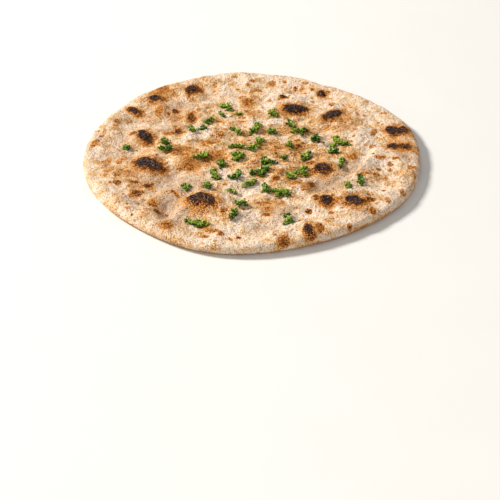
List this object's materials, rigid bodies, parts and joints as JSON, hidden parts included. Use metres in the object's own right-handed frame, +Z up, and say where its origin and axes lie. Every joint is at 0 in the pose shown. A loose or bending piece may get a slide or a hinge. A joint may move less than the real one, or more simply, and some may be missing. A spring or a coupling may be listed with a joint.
{
  "type": "roti",
  "caption": "Round hand-rolled flatbread with a puffed rim and scorched blisters, scattered with chopped curly parsley.",
  "frame": {"origin": "on the surface the bread lies on, under the middle of its box", "axes": "+Z up through the bread; +X to the viewer's right and -Y towards the viewer as served"},
  "size_m": [0.209, 0.2112, 0.0101],
  "materials": {
    "baked_dough": "matte, toasted and scorched in patches",
    "parsley": "fresh leaf, softly shiny"
  },
  "bodies": {
    "root": {"roti": "baked_dough", "parsley_01": "parsley", "parsley_02": "parsley", "parsley_03": "parsley", "parsley_04": "parsley", "parsley_05": "parsley", "parsley_06": "parsley", "parsley_07": "parsley", "parsley_08": "parsley", "parsley_09": "parsley", "parsley_10": "parsley", "parsley_11": "parsley", "parsley_12": "parsley", "parsley_13": "parsley", "parsley_14": "parsley", "parsley_15": "parsley", "parsley_16": "parsley", "parsley_17": "parsley", "parsley_18": "parsley", "parsley_19": "parsley", "parsley_20": "parsley", "parsley_21": "parsley", "parsley_22": "parsley", "parsley_23": "parsley", "parsley_24": "parsley", "parsley_25": "parsley", "parsley_26": "parsley", "parsley_27": "parsley", "parsley_28": "parsley", "parsley_29": "parsley", "parsley_30": "parsley", "parsley_31": "parsley", "parsley_32": "parsley", "parsley_33": "parsley", "parsley_34": "parsley", "parsley_35": "parsley", "parsley_36": "parsley", "parsley_37": "parsley", "parsley_38": "parsley", "parsley_39": "parsley", "parsley_40": "parsley", "parsley_41": "parsley", "parsley_42": "parsley", "parsley_43": "parsley", "parsley_44": "parsley", "parsley_45": "parsley", "parsley_46": "parsley"}
  },
  "joints": []
}
